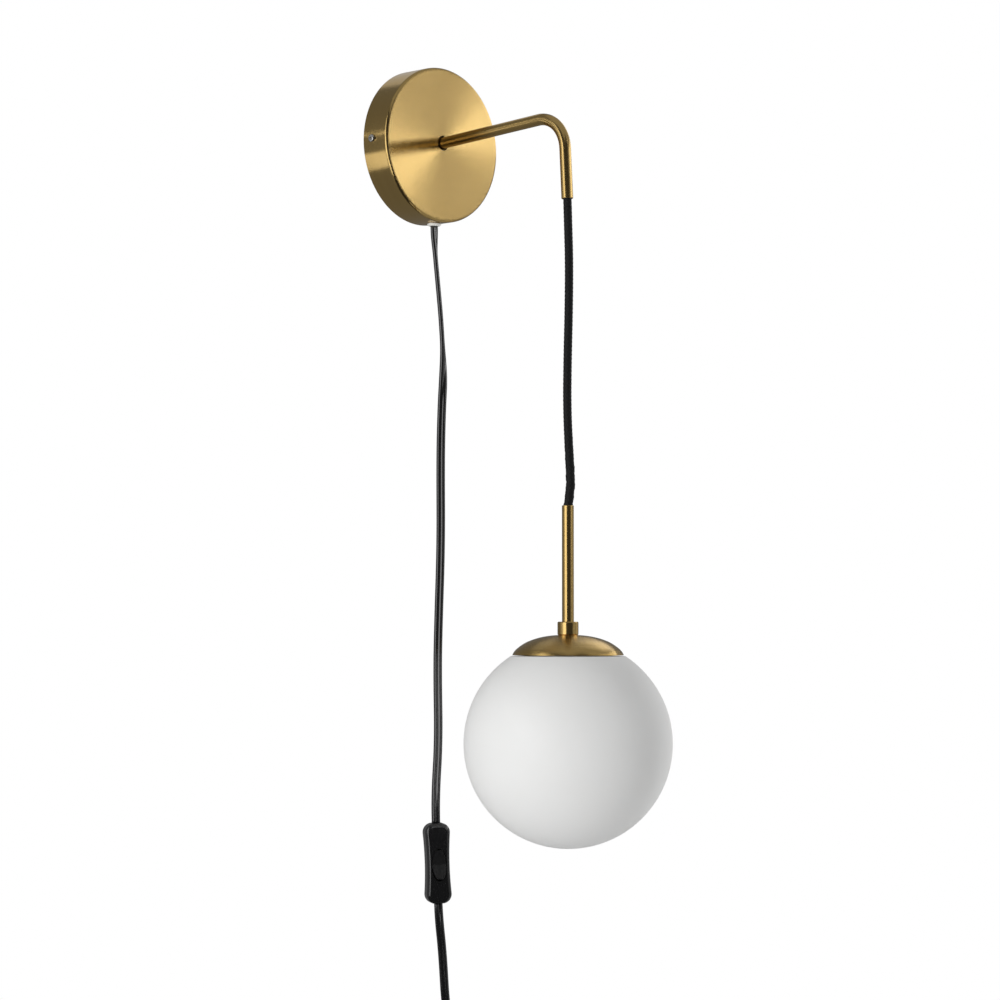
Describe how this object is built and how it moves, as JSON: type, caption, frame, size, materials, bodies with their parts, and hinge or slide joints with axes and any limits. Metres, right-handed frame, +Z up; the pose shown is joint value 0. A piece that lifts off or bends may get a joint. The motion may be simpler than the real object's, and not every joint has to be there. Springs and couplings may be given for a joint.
{
  "type": "globe wall sconce",
  "caption": "Plug-in wall light: round brushed brass canopy, bent tube arm and an opal glass globe hung on a textile cord, with a flat black lead, in-line rocker switch and plug.",
  "frame": {"origin": "midway between the two wall screw holes, at the wall plate's back face on the wall", "axes": "+Z up, -Y out of the wall towards the room, +X to the right of someone who faces the wall"},
  "size_m": [0.149, 0.2269, 0.8772],
  "materials": {
    "brushed_brass": "satin, brushed",
    "zinc_steel": "zinc plated",
    "textile_cord": "woven, matt",
    "clear_nylon": "milky",
    "white_nylon": "matt",
    "core_brown": "gloss",
    "core_blue": "gloss",
    "black_pvc": "gloss",
    "black_plastic": "semi-gloss",
    "holder_plastic": "matt",
    "holder_ceramic": "unglazed",
    "contact_brass": "bright",
    "nickel_plate": "nickel plated",
    "lamp_cap_metal": "bright",
    "lamp_glass": "frosted",
    "opal_glass": "opal, acid matt"
  },
  "bodies": {
    "root": {"canopy_cover": "brushed_brass", "arm_tube": "brushed_brass", "canopy_side_screws": "nickel_plate", "wall_plate": "zinc_steel", "arm_bridge": "zinc_steel", "bridge_rivets": "zinc_steel", "arm_nuts": "zinc_steel", "arm_washer": "zinc_steel", "anchor_screws": "zinc_steel", "arm_cable": "textile_cord", "cord_grommet": "clear_nylon", "cord_anchor": "white_nylon", "anchor_bar": "white_nylon", "wire_connectors": "white_nylon", "supply_cores": "core_brown", "lamp_cores": "core_blue", "supply_lead": "black_pvc", "power_cord_upper": "black_pvc", "power_cord_lower": "black_pvc", "power_cord_coil": "black_pvc", "coil_tie": "black_pvc", "plug_boot": "black_pvc", "plug_body": "black_plastic", "plug_pins": "nickel_plate", "switch_front": "black_plastic", "switch_back": "black_plastic", "switch_screws": "zinc_steel", "switch_contacts": "contact_brass"},
    "rocker": {"switch_rocker": "black_plastic"},
    "cord_link": {"cord_bend": "textile_cord"},
    "pendant": {"pendant_cord": "textile_cord", "drop_rod": "brushed_brass", "rod_cable": "textile_cord", "rod_collar": "brushed_brass", "holder_nipple": "zinc_steel", "dome_cap": "brushed_brass", "nipple_nuts": "zinc_steel", "glass_carrier": "zinc_steel", "cord_stop": "white_nylon", "holder_cap": "holder_plastic", "holder_body": "holder_plastic", "holder_insert": "holder_ceramic", "screw_shell": "contact_brass", "centre_contact": "contact_brass", "holder_cores": "core_brown", "lamp_cap": "lamp_cap_metal", "lamp_bulb": "lamp_glass"},
    "globe": {"glass_globe": "opal_glass"}
  },
  "joints": [
    {"name": "rocker_switch", "type": "hinge", "parent": "root", "child": "rocker", "pos_m": [0.00494, -0.01548, -0.5378], "axis": [0.8778, -0.4774, 0.04], "range_deg": [0, 14]},
    {"name": "pendant_swing", "type": "hinge", "parent": "root", "child": "cord_link", "pos_m": [0, -0.15245, -0.05758], "axis": [1, 0, 0], "range_deg": [-30, 6]},
    {"name": "pendant_sway", "type": "hinge", "parent": "cord_link", "child": "pendant", "pos_m": [0, -0.15245, -0.05758], "axis": [0, 1, 0], "range_deg": [-25, 25]},
    {"name": "globe_release", "type": "slide", "parent": "pendant", "child": "globe", "axis": [0, 0, -1], "range_m": [0, 0.105]}
  ]
}
